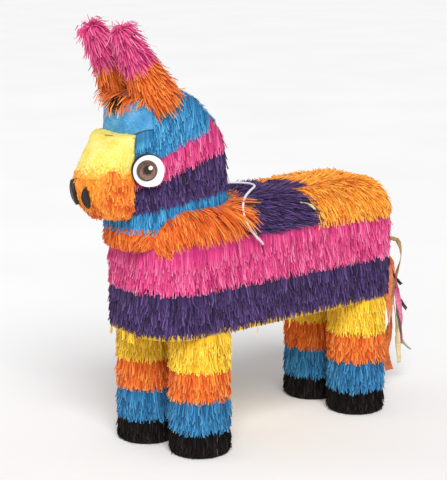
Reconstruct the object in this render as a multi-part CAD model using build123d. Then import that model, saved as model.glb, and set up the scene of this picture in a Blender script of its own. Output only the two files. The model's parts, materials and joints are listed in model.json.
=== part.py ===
from build123d import *

import os
from math import cos, radians, sin, tan

# A donkey pinata: a hollow card body with a filling flap in its back, four leg tubes, a neck and head with
# a muzzle and two ear cones, fringed paper bands over all of it, card eyes and nostrils, a streamer tail that
# swings from its root, and a hanging cord knotted through both flanks.
# Millimetres, +Z up, feet on z = 0, head towards -Y, left flank on +X.

# Card and paper
card = 3.0  # wall of the body, neck and legs
fringe = 4.5  # a fringed band, pressed flat
paper = 2.0  # smooth wrapped paper
gap = 0.3  # between pieces that move past each other

# Body
body_half_width = 71.0
chest_y = -193.0
rump_y = 191.0
belly_z = 155.0
back_z = 303.0
chest_round = 55.0
rump_round = 42.0
back_round = 40.0
flank_top_z = 262.0  # the flanks stand straight up to here
purple_top_z = 207.0
belly_paper = 4.0

# Legs
leg_radius = 34.0
leg_fringe = 5.0
leg_x = 41.5
leg_y = {"front_left": -118.0, "front_right": -136.0, "rear_left": 143.0, "rear_right": 141.0}
foot_thickness = 2.0
hoof_gap = 1.0  # the paper stops this far above the floor
leg_band_z = {"black": (hoof_gap, 31.0), "blue": (31.0, 70.0), "orange": (70.0, 107.0), "yellow": (107.0, belly_z)}

# Filling flap, cut on three sides and creased along its front edge
flap_half_width = 27.0
flap_y = 38.0
flap_length = 66.0
flap_cut = 0.5
crease_room = 5.5  # the fringe stands this far back from the crease on both sides

# Neck and head
neck_half_width = 44.0
neck_front_y = -209.0
neck_back_y = -61.0
neck_round = 36.0
head_profile = ((-209.0, 430.0), (-170.0, 448.0), (-126.0, 434.0), (-85.0, 388.0), (-74.0, 345.0))
head_rounds = (24.0, 45.0, 65.0, 65.0, 90.0)
cap_z = 396.0
# Lower edge of each neck band: its height at the neck's front and how steeply it climbs to the back
band_planes = {
    "blue": (282.0, 0.02),
    "purple": (304.3, 0.117),
    "pink": (332.0, 0.29),
    "head_blue": (356.0, 0.39),
    "forehead": (387.5, 0.62),
}
forehead_back_y = -168.0
collar_back_y = -48.0
collar_front_z = 252.0
collar_rise_y = -150.0  # the collar's lower edge climbs to the flanks' top from here back

# Muzzle: height, half width and depth of each level section
muzzle_sections = (
    (394.0, 39.0, 12.0),
    (372.0, 38.0, 34.0),
    (349.0, 37.0, 49.0),
    (332.0, 36.0, 52.0),
    (314.0, 34.0, 43.0),
    (299.0, 28.0, 29.0),
)
muzzle_colour_z = 349.0

# Ears
ear_base = (29.0, -163.0, 424.0)
ear_tip = (29.0, -219.0, 515.0)
ear_base_radius = 25.0
ear_tip_radius = 9.5
ear_wall = 2.0
ear_colour_share = 0.50  # how far up the ear the colour changes

# Eyes and nostrils
eye_radius = 18.5
eye_card = 0.8
eye_z = 354.0
eye_turn = 66.0  # degrees from straight ahead to the way the eye faces
eye_along = 5.0  # from the neck's corner towards the muzzle
eye_stand = 4.6  # over the neck's fringe, where it bridges to the muzzle
lash_radius = 19.5
lash_shift = (2.2, 2.2)  # the black card shows along the front and upper edge
nostril_x = 13.5
nostril_z = 321.0
nostril_height = 32.0
nostril_width = 11.0
nostril_card = 1.0

# Tail
tail_half_width = 17.0
tail_outline = (
    (197.0, 206.0),
    (224.0, 207.0),
    (247.0, 188.0),
    (243.0, 150.0),
    (254.0, 92.0),
    (264.0, 52.0),
    (250.0, 31.0),
    (222.0, 31.0),
    (220.0, 110.0),
    (203.0, 155.0),
)

# Hanging cord: the left half of its route, from inside the left flank to the middle of the back
cord_radius = 1.5
cord_half_route = (
    (60.0, -38.0, 250.0),
    (72.0, -44.0, 251.5),
    (81.0, -54.0, 258.0),
    (81.5, -67.0, 269.5),
    (77.0, -75.0, 284.0),
    (65.0, -71.0, 298.0),
    (48.0, -54.0, 307.0),
    (31.0, -30.0, 310.5),
    (12.0, -4.0, 311.0),
)
cord_hole = 2.2
knot_radius = 5.0


def export(shape, name):
    """Writes one piece, or one group of like pieces, under its name."""
    export_step(shape, os.path.join("parts", name + ".step"))


def block(x0, x1, y0, y1, z0, z1):
    """A box between two corners."""
    return Pos((x0 + x1) / 2, (y0 + y1) / 2, (z0 + z1) / 2) * Box(x1 - x0, y1 - y0, z1 - z0)


def body_form(grow, floor_grow=0.0):
    """The body's loaf shape, grown outwards all round, and downwards by floor_grow."""
    half = body_half_width + grow
    loaf = block(-half, half, chest_y - grow, rump_y + grow, belly_z - floor_grow, back_z + grow)
    loaf = fillet(loaf.edges().filter_by(Axis.Z).sort_by(Axis.Y)[:2], chest_round + grow)
    loaf = fillet(loaf.edges().filter_by(Axis.Z).sort_by(Axis.Y)[-2:], rump_round + grow)
    return fillet(loaf.faces().sort_by(Axis.Z)[-1].edges(), back_round + grow)


def neck_form(grow):
    """The neck and head as one block, grown outwards all round."""
    foot = [(neck_front_y, flank_top_z), (neck_back_y, flank_top_z)]
    back = FilletPolyline(foot[0], *head_profile, foot[1], radius=list(head_rounds))
    outline = make_face([back, Line(foot[1], foot[0])])
    if grow:
        outline = offset(outline, amount=grow, kind=Kind.INTERSECTION)
    half = neck_half_width + grow
    side = extrude(Plane.YZ * outline, amount=half, both=True)
    length = neck_back_y - neck_front_y + 2 * grow
    middle = (neck_back_y + neck_front_y) / 2
    plan = Pos(0, middle, flank_top_z - 20) * extrude(
        RectangleRounded(2 * half, length, neck_round + grow), amount=220
    )
    return side & plan


def muzzle_form(grow):
    """The muzzle on the front of the neck, grown outwards all round."""
    top = len(muzzle_sections) - 1
    sections = []
    for i, (z, half, depth) in enumerate(muzzle_sections):
        lift = grow if i == 0 else -grow if i == top else 0.0
        arc = EllipticalCenterArc((0, neck_front_y), half + grow, depth + grow, start_angle=180, arc_size=180)
        face = make_face([arc, Line(arc @ 1, arc @ 0)])
        sections.append(Pos(0, 0, z + lift) * face)
    return loft(sections)


def above_plane(name):
    """Everything above the lower edge of a neck band, as a block."""
    height, slope = band_planes[name]
    reach = 400.0
    low = height - slope * reach
    high = height + slope * reach
    corners = [
        (neck_front_y - reach, low),
        (neck_front_y + reach, high),
        (neck_front_y + reach, 1200.0),
        (neck_front_y - reach, 1200.0),
    ]
    return extrude(Plane.YZ * make_face(Polyline(corners, close=True)), amount=200, both=True)


def ear_frame(side):
    """A plane at the foot of an ear, with its normal along the ear."""
    foot = Vector(side * ear_base[0], ear_base[1], ear_base[2])
    tip = Vector(side * ear_tip[0], ear_tip[1], ear_tip[2])
    return Plane(origin=foot, z_dir=tip - foot), (tip - foot).length


def ear_form(side, grow, start=0.0, end=1.0, above=0.0):
    """An ear's cone between two shares of its length, with a flat cap of its own growth above the tip."""
    frame, length = ear_frame(side)
    taper = ear_tip_radius - ear_base_radius
    low = ear_base_radius + grow + taper * start
    high = ear_base_radius + grow + taper * end
    height = (end - start) * length + above
    return frame * Pos(0, 0, start * length + height / 2) * Cone(low, high, height)


def leg_post(name, radius, z0, z1):
    """A round post on a leg's own centre line."""
    side = 1 if name.endswith("left") else -1
    return Pos(side * leg_x, leg_y[name], (z0 + z1) / 2) * Cylinder(radius, z1 - z0)


def cord_path():
    """The cord's route from the left flank over the back to the right flank, with a large arc at each bend."""
    left = [Vector(*p) for p in cord_half_route]
    right = [Vector(-p.X, p.Y, p.Z) for p in reversed(left)]
    points = left + right
    radii = []
    for before, here, after in zip(points, points[1:], points[2:]):
        turn = radians((here - before).get_angle(after - here))
        shorter = min((here - before).length, (after - here).length)
        radii.append(round(0.45 * shorter / tan(turn / 2), 2))
    print("cord bend radii", radii)
    path = FilletPolyline(*points, radius=radii)
    print("cord length", round(path.length, 1))
    return path


def cord_tube(path, radius):
    """A round tube along the cord's route."""
    start = Plane(origin=path @ 0, z_dir=path % 0)
    return sweep(start * Circle(radius), path=path)


def body_card(cord_clearance):
    """The six panels of the hollow body and its filling flap."""
    outer = body_form(0)
    hollow = body_form(-card, -card)
    shell = outer - hollow - cord_clearance
    wide = 200.0
    chest_end = chest_y + chest_round
    rump_start = rump_y - rump_round
    floor_top = belly_z + card
    hatch = block(
        -flap_half_width - flap_cut,
        flap_half_width + flap_cut,
        flap_y,
        flap_y + flap_length + flap_cut,
        back_z - 2 * card,
        back_z + card,
    )
    middle = shell & block(-wide, wide, chest_end, rump_start, floor_top, 400)
    panels = {
        "belly_panel": outer & block(-wide, wide, -wide * 2, wide * 2, belly_z, floor_top),
        "chest_panel": shell & block(-wide, wide, -wide * 2, chest_end, floor_top, 400),
        "rump_panel": shell & block(-wide, wide, rump_start, wide * 2, floor_top, 400),
        "left_side_panel": middle & block(0, wide, -wide, wide, floor_top, flank_top_z),
        "right_side_panel": middle & block(-wide, 0, -wide, wide, floor_top, flank_top_z),
        "back_panel": (middle & block(-wide, wide, -wide, wide, flank_top_z, 400)) - hatch,
        "fill_flap": block(
            -flap_half_width, flap_half_width, flap_y + gap, flap_y + flap_length, back_z - card, back_z
        ),
    }
    return outer, panels


def body_paper(outer, neck, neck_skin, muzzle_skin, cord_clearance):
    """The fringed bands over the body, the collar on the shoulders, and the paper under the belly."""
    wide = 200.0
    skin = body_form(fringe) - outer - neck - muzzle_skin - cord_clearance
    upper = skin & block(-wide, wide, -wide * 2, wide * 2, flank_top_z, 400)
    seam_y = flap_y - crease_room
    patch_front = [(-wide, collar_back_y), (wide, collar_back_y)]
    patch_back = [(wide, 72.0), (flap_half_width, seam_y), (-flap_half_width, seam_y), (-wide, 72.0)]
    saddle_plan = extrude(make_face(Polyline(patch_front + patch_back, close=True)), amount=500)
    over_collar = block(-wide, wide, -wide * 2, collar_back_y, 0, 500)
    flap_zone = block(
        -flap_half_width - flap_cut,
        flap_half_width + flap_cut,
        seam_y,
        flap_y + flap_length + flap_cut,
        back_z - card,
        back_z + 2 * fringe,
    )
    collar_top = above_plane("blue")
    collar_ring = ((neck_skin - neck - outer) - collar_top) & block(
        -wide, wide, -wide * 2, wide, flank_top_z - 10, 400
    )
    shoulder = (upper & over_collar) - neck_skin
    collar = shoulder + (collar_ring - muzzle_skin - cord_clearance)
    lowered = skin & block(-wide, wide, -wide * 2, wide * 2, belly_z, flank_top_z)
    edge = [(-300.0, collar_front_z), (collar_rise_y, collar_front_z), (collar_back_y, flank_top_z)]
    wedge = make_face(Polyline(edge + [(-300.0, flank_top_z)], close=True))
    collar_front = lowered & extrude(Plane.YZ * wedge, amount=wide, both=True)
    pink = (lowered & block(-wide, wide, -wide * 2, wide * 2, purple_top_z, flank_top_z)) - collar_front - neck_skin
    purple = lowered & block(-wide, wide, -wide * 2, wide * 2, belly_z, purple_top_z)
    under = (body_form(0, belly_paper) & block(-wide, wide, -wide * 2, wide * 2, 0, belly_z)) - [
        leg_post(name, leg_radius + leg_fringe, 0, belly_z) for name in leg_y
    ]
    flap_cover = block(
        -flap_half_width,
        flap_half_width,
        flap_y + crease_room,
        flap_y + flap_length,
        back_z,
        back_z + fringe,
    )
    return {
        "collar_fringe": collar + (collar_front - neck_skin),
        "saddle_fringe": (upper - over_collar - flap_zone) & saddle_plan,
        "rump_fringe": upper - over_collar - flap_zone - saddle_plan,
        "flap_fringe": flap_cover,
        "body_pink_fringe": pink,
        "body_purple_fringe": purple,
        "belly_paper": under,
    }


def neck_pieces(outer, neck, neck_skin, muzzle_skin, ears, cord_clearance):
    """The neck tube and head cap, and the bands of fringe and smooth paper over them."""
    hollow = neck_form(-card)
    shell = (neck - hollow) - outer
    below = block(-200, 200, -400, 200, 0, cap_z)
    layer = neck_skin - neck - outer - muzzle_skin - cord_clearance
    brow = above_plane("forehead") & block(-200, 200, -400, forehead_back_y, 0, 700)
    order = list(band_planes)
    pieces = {"neck_tube": shell & below, "head_cap": shell - below}
    names = {"blue": "neck_blue_fringe", "purple": "neck_purple_fringe", "pink": "neck_pink_fringe"}
    names["head_blue"] = "head_blue_fringe"
    for key, name in names.items():
        upper = brow if key == "head_blue" else above_plane(order[order.index(key) + 1])
        pieces[name] = (layer & above_plane(key)) - upper - ears
    pieces["forehead_paper"] = (layer & brow) - ears
    return pieces


def ear_pieces(neck):
    """Two card cones with their lower and upper bands of fringe."""
    pieces = {}
    for side, word in ((1, "left"), (-1, "right")):
        cone = ear_form(side, 0)
        pieces[word + "_ear_cone"] = cone - ear_form(side, -ear_wall, end=1.0) - neck
        tip = ear_form(side, leg_fringe, start=ear_colour_share, above=leg_fringe) - cone
        foot = ear_form(side, leg_fringe, end=ear_colour_share) - cone - neck
        pieces[word + "_ear_pink_fringe"] = tip - neck
        pieces[word + "_ear_orange_fringe"] = foot
    middle = block(-200, 0, -400, 200, 0, 700)
    pieces["left_ear_orange_fringe"] = pieces["left_ear_orange_fringe"] - middle
    pieces["right_ear_orange_fringe"] = pieces["right_ear_orange_fringe"] & middle
    return pieces


def muzzle_pieces(neck):
    """The hollow card muzzle, its two wraps of smooth paper and the two nostril cards."""
    core = muzzle_form(0) - neck
    skin = muzzle_form(paper) - muzzle_form(0) - neck - eye_room(1) - eye_room(-1)
    upper = block(-200, 200, -400, 0, muzzle_colour_z, 500)
    pieces = {
        "muzzle_shell": core - muzzle_form(-card),
        "muzzle_yellow_paper": skin & upper,
        "muzzle_orange_paper": skin - upper,
    }
    layer = muzzle_form(paper + nostril_card) - muzzle_form(paper)
    for side, word in ((1, "left"), (-1, "right")):
        drop = Ellipse(nostril_width / 2, nostril_height / 2)
        front = Plane(origin=(side * nostril_x, neck_front_y - 10, nostril_z), x_dir=(1, 0, 0), z_dir=(0, -1, 0))
        pieces[word + "_nostril"] = layer & extrude(front * drop, amount=100)
    return pieces


def eye_plane(side):
    """The back of the lash card: its plane, and the lash disc's shift on it."""
    turn = radians(eye_turn)
    stand = neck_round + fringe + eye_stand
    facing = Vector(side * sin(turn), -cos(turn), 0)
    forwards = Vector(-side * cos(turn), -sin(turn), 0)
    corner = Vector(side * (neck_half_width - neck_round), neck_front_y + neck_round, eye_z)
    plane = Plane(origin=corner + facing * stand + forwards * eye_along, x_dir=forwards, z_dir=facing)
    up = 1 if plane.y_dir.Z > 0 else -1
    return plane, Pos(lash_shift[0], up * lash_shift[1])


def eye_room(side):
    """The space the eye and its lash take up, with a little clearance."""
    plane, shift = eye_plane(side)
    return extrude(plane.offset(-gap) * shift * Circle(lash_radius + gap), amount=10)


def eye_pieces():
    """A white card eye on a black lash card, standing across the corner between neck and muzzle."""
    pieces = {}
    for side, word in ((1, "left"), (-1, "right")):
        plane, shift = eye_plane(side)
        pieces[word + "_eye_lash"] = extrude(plane * shift * Circle(lash_radius), amount=eye_card)
        pieces[word + "_eye"] = extrude(plane.offset(eye_card) * Circle(eye_radius), amount=eye_card)
    return pieces


def leg_pieces():
    """Four card leg tubes with a card disc under each, and four bands of fringe on each."""
    pieces = {}
    feet = []
    for name in leg_y:
        tube = leg_post(name, leg_radius, foot_thickness, belly_z)
        pieces[name + "_leg_tube"] = tube - leg_post(name, leg_radius - card, foot_thickness, belly_z)
        feet.append(leg_post(name, leg_radius, 0, foot_thickness))
        for colour, (z0, z1) in leg_band_z.items():
            sleeve = leg_post(name, leg_radius + leg_fringe, z0, z1) - leg_post(name, leg_radius, z0, z1)
            pieces[name + "_leg_" + colour + "_fringe"] = sleeve
    pieces["foot_caps"] = Compound(children=feet)
    return pieces


def tail_piece():
    """The bunch of streamers as one hanging solid."""
    outline = make_face(Polyline(list(tail_outline), close=True))
    return extrude(Plane.YZ * outline, amount=tail_half_width, both=True)


def main():
    os.makedirs("parts", exist_ok=True)
    path = cord_path()
    cord = cord_tube(path, cord_radius)
    section = 3.14159 * cord_radius**2
    print("cord volume over section times length", round(cord.volume / (section * path.length), 4))
    cord_clearance = cord_tube(path, cord_hole)

    neck = neck_form(0)
    neck_skin = neck_form(fringe)
    muzzle_skin = muzzle_form(paper)
    outer, pieces = body_card(cord_clearance)
    ears_solid = ear_form(1, leg_fringe) + ear_form(-1, leg_fringe)
    pieces |= body_paper(outer, neck, neck_skin, muzzle_skin, cord_clearance)
    pieces |= neck_pieces(outer, neck, neck_skin, muzzle_skin, ears_solid, cord_clearance)
    pieces |= ear_pieces(neck)
    pieces |= muzzle_pieces(neck)
    pieces |= eye_pieces()
    pieces |= leg_pieces()
    pieces["tail_streamers"] = tail_piece()
    knots = [Pos(*cord_half_route[0]) * Sphere(knot_radius)]
    knots.append(Pos(-cord_half_route[0][0], cord_half_route[0][1], cord_half_route[0][2]) * Sphere(knot_radius))
    pieces["hang_cord"] = cord - knots
    pieces["cord_knots"] = Compound(children=knots)

    for name, shape in pieces.items():
        export(shape, name)
    print(len(pieces), "pieces")


main()
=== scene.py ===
import json
import math
import random

import bmesh
import bpy
from mathutils import Matrix, Vector, noise
from mathutils.bvhtree import BVHTree

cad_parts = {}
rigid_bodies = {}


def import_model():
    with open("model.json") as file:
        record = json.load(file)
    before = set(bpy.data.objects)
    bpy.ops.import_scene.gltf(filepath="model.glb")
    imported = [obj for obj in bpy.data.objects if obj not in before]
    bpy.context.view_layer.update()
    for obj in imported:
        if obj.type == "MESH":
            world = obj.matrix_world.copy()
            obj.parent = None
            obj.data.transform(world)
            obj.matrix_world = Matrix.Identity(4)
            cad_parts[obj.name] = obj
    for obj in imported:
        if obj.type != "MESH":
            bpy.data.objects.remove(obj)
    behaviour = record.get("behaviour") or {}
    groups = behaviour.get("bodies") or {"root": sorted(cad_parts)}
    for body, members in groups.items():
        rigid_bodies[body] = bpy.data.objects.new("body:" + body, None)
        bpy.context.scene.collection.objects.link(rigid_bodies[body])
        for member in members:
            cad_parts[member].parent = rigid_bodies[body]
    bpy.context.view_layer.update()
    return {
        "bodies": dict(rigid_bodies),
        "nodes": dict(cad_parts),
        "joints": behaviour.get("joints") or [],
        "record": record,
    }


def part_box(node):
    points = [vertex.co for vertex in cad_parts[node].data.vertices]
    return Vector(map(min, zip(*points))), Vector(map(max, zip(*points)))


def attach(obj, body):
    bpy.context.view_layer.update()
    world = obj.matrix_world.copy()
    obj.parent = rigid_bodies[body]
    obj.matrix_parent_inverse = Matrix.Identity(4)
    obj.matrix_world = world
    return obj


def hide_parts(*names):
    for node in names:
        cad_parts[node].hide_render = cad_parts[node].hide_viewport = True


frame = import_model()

mm = 0.001
nodes = frame["nodes"]
dice = random.Random(23)


def say(text):
    print("donkey:", text)


# camera and studio

shot = {"stand": (1510.3, -1276.9, 680.5), "look": (0.0, -47.0, 245.4), "lens": 121.0}


def setCamera(settings):
    lensData = bpy.data.cameras.new("camera")
    lensData.lens = settings["lens"]
    lensData.sensor_width = 36
    lensData.clip_start = 0.05
    camera = bpy.data.objects.new("camera", lensData)
    bpy.context.scene.collection.objects.link(camera)
    camera.location = Vector(settings["stand"]) * mm
    aim = (Vector(settings["look"]) - Vector(settings["stand"])) * mm
    camera.rotation_euler = aim.to_track_quat("-Z", "Y").to_euler()
    bpy.context.scene.camera = camera


studio = {
    "sky": 0.47,
    "sun": {"strength": 2.5, "spread": 30.0, "from": (0.85, -0.55, 1.25)},
    "fill": {"place": (-2.2, -2.6, 1.4), "size": 1.8, "watts": 14.0},
}


def lightStudio(settings):
    world = bpy.data.worlds.new("studio")
    world.use_nodes = True
    world.node_tree.nodes["Background"].inputs["Color"].default_value = (1, 1, 1, 1)
    world.node_tree.nodes["Background"].inputs["Strength"].default_value = settings["sky"]
    bpy.context.scene.world = world
    sun = bpy.data.lights.new("key", "SUN")
    sun.energy = settings["sun"]["strength"]
    sun.angle = math.radians(settings["sun"]["spread"])
    soft = bpy.data.lights.new("fill", "AREA")
    soft.shape = "DISK"
    soft.size = settings["fill"]["size"]
    soft.energy = settings["fill"]["watts"]
    for lamp, place in ((sun, settings["sun"]["from"]), (soft, settings["fill"]["place"])):
        holder = bpy.data.objects.new(lamp.name, lamp)
        holder.location = place
        holder.rotation_euler = (Vector((0, 0, 0.25)) - Vector(place)).to_track_quat("-Z", "Y").to_euler()
        bpy.context.scene.collection.objects.link(holder)
    bpy.context.scene.view_settings.view_transform = "Standard"


# shader maths written as Python expressions


class Wire:
    def __init__(self, finish, socket):
        self.finish = finish
        self.socket = socket

    def sum(self, operation, first, second):
        return self.finish.node("ShaderNodeMath", {"operation": operation}, {0: first, 1: second})

    def __add__(self, other):
        return self.sum("ADD", self, other)

    __radd__ = __add__

    def __sub__(self, other):
        return self.sum("SUBTRACT", self, other)

    def __rsub__(self, other):
        return self.sum("SUBTRACT", other, self)

    def __mul__(self, other):
        return self.sum("MULTIPLY", self, other)

    __rmul__ = __mul__

    def __pow__(self, other):
        return self.sum("POWER", self, other)


class Finish:
    def __init__(self, name, roughness=0.8, sheen=0.0, specular=0.35):
        self.material = bpy.data.materials.new(name)
        self.material.use_nodes = True
        self.tree = self.material.node_tree
        self.shader = self.tree.nodes["Principled BSDF"]
        self.shader.inputs["Roughness"].default_value = roughness
        self.shader.inputs["Sheen Weight"].default_value = sheen
        self.shader.inputs["Specular IOR Level"].default_value = specular

    def node(self, kind, settings=None, links=None, out=0):
        made = self.tree.nodes.new(kind)
        for key, value in (settings or {}).items():
            if key == "stops":
                ramp = made.color_ramp.elements
                while len(ramp) < len(value):
                    ramp.new(0.5)
                for stop, (where, colour) in zip(ramp, value):
                    stop.position = where
                    stop.color = (*colour, 1)
            else:
                setattr(made, key, value)
        for key, value in (links or {}).items():
            self.plug(made.inputs[key], value)
        return Wire(self, made.outputs[out])

    def plug(self, socket, value):
        if isinstance(value, Wire):
            self.tree.links.new(value.socket, socket)
        elif isinstance(value, tuple) and len(value) == 3 and socket.type == "RGBA":
            socket.default_value = (*value, 1)
        else:
            socket.default_value = value

    def here(self):
        return self.node("ShaderNodeTexCoord", out="Object")

    def mark(self, name):
        return self.node("ShaderNodeAttribute", {"attribute_name": name}, out="Fac")

    def cloud(self, scale, detail=3.0, where=None):
        links = {"Vector": where or self.here(), "Scale": scale, "Detail": detail}
        return self.node("ShaderNodeTexNoise", None, links, out="Fac")

    def ramp(self, mask, stops):
        return self.node("ShaderNodeValToRGB", {"stops": stops}, {"Fac": mask}, out="Color")

    def blend(self, mask, first, second):
        links = {"Factor": mask, 6: first, 7: second}
        return self.node("ShaderNodeMix", {"data_type": "RGBA"}, links, out=2)

    def paint(self, colour):
        self.plug(self.shader.inputs["Base Color"], colour)

    def rough(self, value):
        self.plug(self.shader.inputs["Roughness"], value)

    def emboss(self, height, distance, strength=0.5):
        links = {"Height": height, "Distance": distance, "Strength": strength}
        self.plug(self.shader.inputs["Normal"], self.node("ShaderNodeBump", None, links, out="Normal"))


tissueTones = {
    # painted shade deep in the fringe, the paper itself, a painted highlight where it catches the light, the thin tips
    # with painted light shining through
    "pink": ((0.42, 0.010, 0.12), (0.80, 0.055, 0.25), (0.90, 0.24, 0.44), (0.93, 0.36, 0.55)),
    "purple": ((0.010, 0.004, 0.022), (0.046, 0.020, 0.100), (0.14, 0.075, 0.26), (0.20, 0.12, 0.34)),
    "yellow": ((0.72, 0.33, 0.008), (0.96, 0.63, 0.02), (1.0, 0.78, 0.08), (1.0, 0.87, 0.25)),
    "orange": ((0.48, 0.045, 0.006), (0.86, 0.155, 0.013), (0.96, 0.34, 0.04), (1.0, 0.53, 0.15)),
    "amber": ((0.78, 0.19, 0.012), (0.95, 0.36, 0.025), (1.0, 0.52, 0.06), (1.0, 0.66, 0.16)),
    # blue on the legs and sky on the head and neck are one blue paper: the legs' copy is painted darker (painted shade
    # under the body), the head's copy painted lighter (painted light)
    "blue": ((0.006, 0.055, 0.15), (0.018, 0.19, 0.43), (0.07, 0.36, 0.64), (0.16, 0.48, 0.74)),
    "sky": ((0.008, 0.085, 0.22), (0.030, 0.28, 0.58), (0.11, 0.48, 0.78), (0.22, 0.60, 0.85)),
    "black": ((0.002, 0.0015, 0.002), (0.007, 0.005, 0.005), (0.030, 0.022, 0.023), (0.040, 0.030, 0.031)),
}


def tissuePaper(name, tones):
    shadeTone, plain, highlightTone, tip = tones
    sheen, specular = (0.0, 0.1) if "black" in name else (0.1, 0.25)
    finish = Finish(name, roughness=0.78, sheen=sheen, specular=specular)
    shade = finish.mark("shade")
    along = finish.mark("along")
    fibre = finish.cloud(900.0, 2.0)
    # each strip's tone differs at random, from the painted shade colour through the paper's own to a painted highlight
    tone = finish.ramp(shade * 0.82 + fibre * 0.2, ((0.04, shadeTone), (0.40, plain), (0.68, plain), (0.98, highlightTone)))
    # strips are painted darker towards their roots: painted shade deep in the fringe
    rooted = finish.blend(((1 - along) ** 3.0) * 0.55, tone, shadeTone)
    # their thin tips are painted paler: painted light shining through the single sheet
    finish.paint(finish.blend((along**3.0) * 0.6 * shade, rooted, tip))
    finish.rough(fibre * 0.2 + 0.66)
    finish.emboss(finish.cloud(1500.0, 2.0), 0.0004, 0.5)
    return finish.material


# each: crease hollows (painted shade), the paper, ridges (painted highlight)
wrapTones = {
    "yellow": ((0.74, 0.52, 0.05), (0.88, 0.74, 0.13), (0.93, 0.85, 0.38)),
    "orange": ((0.78, 0.13, 0.010), (0.95, 0.27, 0.02), (1.0, 0.45, 0.07)),
    "blue": ((0.03, 0.20, 0.43), (0.07, 0.33, 0.62), (0.22, 0.48, 0.74)),
    "gold": ((0.70, 0.36, 0.02), (0.92, 0.58, 0.03), (0.98, 0.72, 0.10)),
}


def crepePaper(name, tones, grain=(260.0, 260.0, 45.0), flecks=None):
    # fine fibres along the paper over soft creases, the tone following the bump: painted shade in their hollows and a
    # painted highlight on their ridges; flecks of the next colour thin out from low to high
    shadeTone, plain, highlightTone = tones
    finish = Finish(name, roughness=0.7, sheen=0.1, specular=0.3)
    stretched = finish.node("ShaderNodeMapping", None, {"Vector": finish.here(), "Scale": grain}, out="Vector")
    fibres = finish.cloud(4.0, 4.0, stretched)
    creases = finish.cloud(70.0, 5.0)
    tone = finish.ramp(fibres * 0.55 + creases * 0.45, ((0.34, shadeTone), (0.5, plain), (0.66, highlightTone)))
    if flecks:
        height = finish.node("ShaderNodeSeparateXYZ", None, {0: finish.here()}, out="Z")
        heights = {0: height, 1: flecks["low"], 2: flecks["high"], 3: 0.62, 4: 0.0}
        fade = finish.node("ShaderNodeMapRange", None, heights)
        specks = finish.cloud(340.0, 3.0) + fade
        mask = finish.node("ShaderNodeMapRange", None, {0: specks, 1: 0.86, 2: 1.0, 3: 0.0, 4: 0.9})
        tone = finish.blend(mask, tone, flecks["tone"])
    finish.paint(tone)
    finish.rough(creases * 0.25 + 0.6)
    finish.emboss(fibres * 0.6 + creases * 0.8, 0.0012, 0.7)
    return finish.material


def bareCard(name, tone=(0.36, 0.25, 0.15)):
    finish = Finish(name, roughness=0.9, specular=0.2)
    flutes = finish.node(
        "ShaderNodeTexWave", {"wave_type": "BANDS", "bands_direction": "Y"},
        {"Vector": finish.here(), "Scale": 60.0, "Distortion": 0.6, "Detail": 1.0}, out="Fac",
    )
    specks = finish.cloud(500.0, 4.0)
    dark = tuple(part * 0.72 for part in tone)
    light = tuple(part * 1.25 for part in tone)
    finish.paint(finish.ramp(specks * 0.8 + flutes * 0.2, ((0.3, dark), (0.6, tone), (0.8, light))))
    finish.emboss(flutes * 0.7 + specks * 0.3, 0.0005, 0.4)
    return finish.material


def printedCard(name, tone, gloss=0.45, grain=0.06):
    finish = Finish(name, roughness=gloss, specular=0.4)
    speck = finish.cloud(700.0, 3.0)
    dark = tuple(part * (1 - grain * 2) for part in tone)
    light = tuple(min(1.0, part * (1 + grain)) for part in tone)
    finish.paint(finish.ramp(speck, ((0.3, dark), (0.7, light))))
    finish.emboss(speck, 0.0002, 0.25)
    return finish.material


def twistedString(name):
    finish = Finish(name, roughness=0.65, sheen=0.2, specular=0.35)
    lay = finish.node("ShaderNodeTexCoord", out="UV")
    wound = finish.node("ShaderNodeMapping", None, {"Vector": lay, "Scale": (160.0, 2.0, 1.0)}, out="Vector")
    plies = finish.node(
        "ShaderNodeTexWave", {"wave_type": "BANDS", "bands_direction": "DIAGONAL"},
        {"Vector": wound, "Scale": 1.0, "Distortion": 0.3}, out="Fac",
    )
    # the grooves between the plies are painted a darker grey: painted shade
    finish.paint(finish.ramp(plies, ((0.0, (0.72, 0.70, 0.76)), (0.45, (0.93, 0.92, 0.96)), (1.0, (0.97, 0.96, 0.99)))))
    finish.emboss(plies, 0.0006, 0.6)
    return finish.material


# making pieces


def addPiece(bm, name, materials, smooth=False, thickness=0.0):
    mesh = bpy.data.meshes.new(name)
    bm.to_mesh(mesh)
    bm.free()
    for material in materials:
        mesh.materials.append(material)
    if smooth:
        mesh.shade_smooth()
    piece = bpy.data.objects.new(name, mesh)
    bpy.context.scene.collection.objects.link(piece)
    if thickness:
        sheet = piece.modifiers.new("paper", "SOLIDIFY")
        sheet.thickness = thickness
        sheet.offset = 0.0
    return piece


def surfaceOf(*names):
    # one search tree over the outside of several card pieces
    points, faces = [], []
    for name in names:
        mesh = nodes[name].data
        start = len(points)
        points += [vert.co.copy() for vert in mesh.vertices]
        faces += [[start + index for index in face.vertices] for face in mesh.polygons]
    return BVHTree.FromPolygons(points, faces)


legNames = ("front_left", "front_right", "rear_left", "rear_right")
bodyPanels = (
    "belly_panel", "chest_panel", "rump_panel", "left_side_panel", "right_side_panel", "back_panel", "fill_flap",
)
bodyCard = surfaceOf(*bodyPanels)
neckCard = surfaceOf("neck_tube", "head_cap")
allCard = surfaceOf(*bodyPanels, "neck_tube", "head_cap")  # all but the muzzle
headCard = surfaceOf("muzzle_shell", "neck_tube", "head_cap")


def fanned(tree, middle, across, ahead, spokes=240, turn=(0.0, 360.0), reach=0.45):
    # where rays from all round first meet the card, in order
    points = []
    for step in range(spokes + 1):
        angle = math.radians(turn[0] + (turn[1] - turn[0]) * step / spokes)
        spoke = across * math.cos(angle) + ahead * math.sin(angle)
        hit = tree.ray_cast(middle + spoke * reach, -spoke, reach)[0]
        if hit:
            points.append(hit)
    return points


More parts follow.
